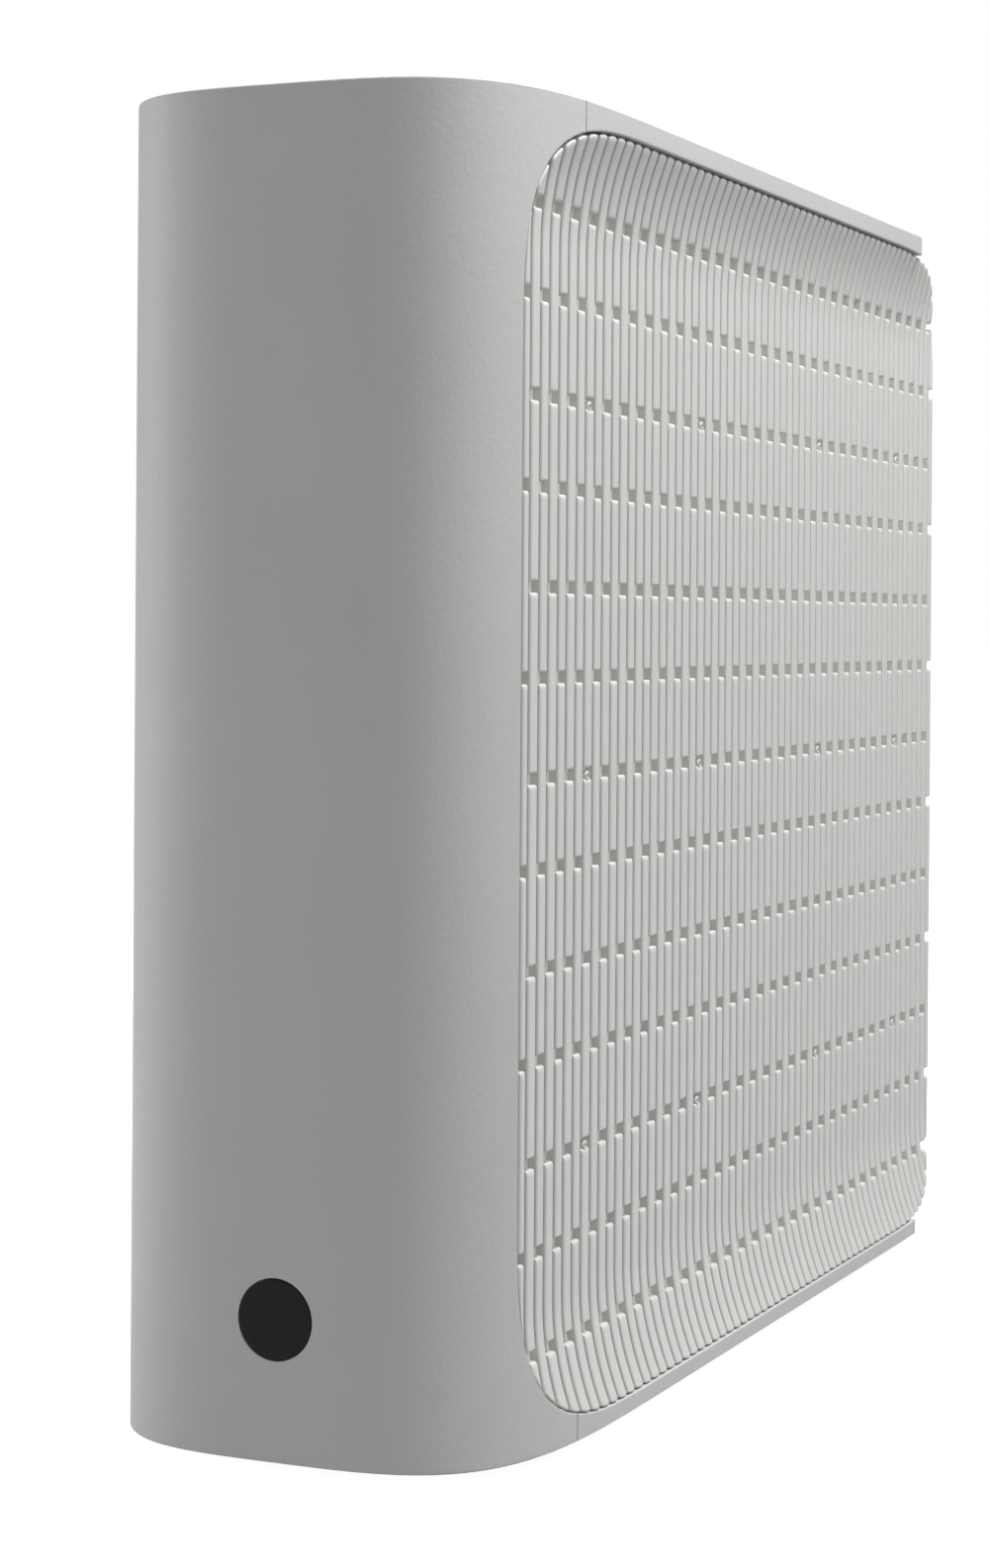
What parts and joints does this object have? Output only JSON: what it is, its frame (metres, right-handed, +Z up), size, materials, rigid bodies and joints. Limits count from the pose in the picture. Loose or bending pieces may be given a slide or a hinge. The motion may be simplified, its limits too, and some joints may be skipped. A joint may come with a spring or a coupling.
{
  "type": "wireless router",
  "caption": "Upright wireless router: wrap-around soft-cornered front cover, flared ribbed side panels, rear network sockets and push buttons in a cable bay between the panels, rubber feet.",
  "frame": {"origin": "on the standing surface, under the middle of the bounding box", "axes": "+X across to the router's right as seen from the front, -Y out of the front face, +Z up"},
  "size_m": [0.0762, 0.2406, 0.2115],
  "materials": {
    "cover_plastic": "fine-grained satin grey",
    "panel_plastic": "smooth light grey, very lightly satin",
    "rear_plastic": "fine-grained dark grey",
    "frame_plastic": "plain dark grey",
    "mark_plastic": "smooth dark grey",
    "label_film": "blank white film",
    "foot_rubber": "soft black",
    "socket_plastic": "black, glass-filled",
    "wan_plastic": "blue, glass-filled",
    "pin_brass": "plated",
    "button_plastic": "satin grey",
    "clear_plastic": "clear moulded",
    "board_laminate": "green solder mask",
    "chip_epoxy": "black epoxy",
    "pad_rubber": "soft grey-blue",
    "sink_aluminium": "extruded",
    "shield_steel": "tinned",
    "antenna_laminate": "bare laminate",
    "lead_jacket": "black jacket",
    "screw_steel": "zinc plated"
  },
  "bodies": {
    "case": {"front_cover": "cover_plastic", "top_cover": "cover_plastic", "base_cover": "cover_plastic", "right_side_panel": "panel_plastic", "left_side_panel": "panel_plastic", "rear_panel": "rear_plastic", "inner_frame": "frame_plastic", "front_mark": "mark_plastic", "rating_label": "label_film", "status_led": "label_film", "foot_1": "foot_rubber", "foot_2": "foot_rubber", "foot_3": "foot_rubber", "foot_4": "foot_rubber", "wan_jack": "wan_plastic", "lan_jack_1": "socket_plastic", "lan_jack_2": "socket_plastic", "lan_jack_3": "socket_plastic", "lan_jack_4": "socket_plastic", "power_inlet": "socket_plastic", "power_switch": "socket_plastic", "wps_switch": "socket_plastic", "reset_switch": "socket_plastic", "power_inlet_pin": "pin_brass", "status_light_pipe": "clear_plastic", "main_board": "board_laminate", "processor_chip": "chip_epoxy", "memory_chip": "chip_epoxy", "network_switch_chip": "chip_epoxy", "processor_thermal_pad": "pad_rubber", "processor_heatsink": "sink_aluminium", "power_capacitor_1": "sink_aluminium", "power_capacitor_2": "sink_aluminium", "upper_radio_shield": "shield_steel", "lower_radio_shield": "shield_steel", "antenna_1": "antenna_laminate", "antenna_2": "antenna_laminate", "antenna_3": "antenna_laminate", "antenna_4": "antenna_laminate", "antenna_lead_1": "lead_jacket", "antenna_lead_2": "lead_jacket", "antenna_lead_3": "lead_jacket", "antenna_lead_4": "lead_jacket", "board_screw_1": "screw_steel", "board_screw_2": "screw_steel", "board_screw_3": "screw_steel", "board_screw_4": "screw_steel", "rear_screw_1": "screw_steel", "rear_screw_2": "screw_steel", "rear_screw_3": "screw_steel", "rear_screw_4": "screw_steel", "base_screw_1": "screw_steel", "base_screw_2": "screw_steel", "base_screw_3": "screw_steel", "base_screw_4": "screw_steel"},
    "power_button": {"power_button": "button_plastic", "power_switch_plunger": "mark_plastic"},
    "wps_button": {"wps_button": "button_plastic", "wps_switch_plunger": "mark_plastic"},
    "reset_plunger": {"reset_switch_plunger": "mark_plastic"}
  },
  "joints": [
    {"name": "power_button_press", "type": "slide", "parent": "case", "child": "power_button", "axis": [0, -1, 0], "range_m": [0, 0.0015], "stiffness_N_per_m": 900, "springref_m": -0.0006},
    {"name": "wps_button_press", "type": "slide", "parent": "case", "child": "wps_button", "axis": [0, -1, 0], "range_m": [0, 0.0008], "stiffness_N_per_m": 1500, "springref_m": -0.0005},
    {"name": "reset_plunger_press", "type": "slide", "parent": "case", "child": "reset_plunger", "axis": [0, -1, 0], "range_m": [0, 0.0003], "stiffness_N_per_m": 3000, "springref_m": -0.0002}
  ]
}
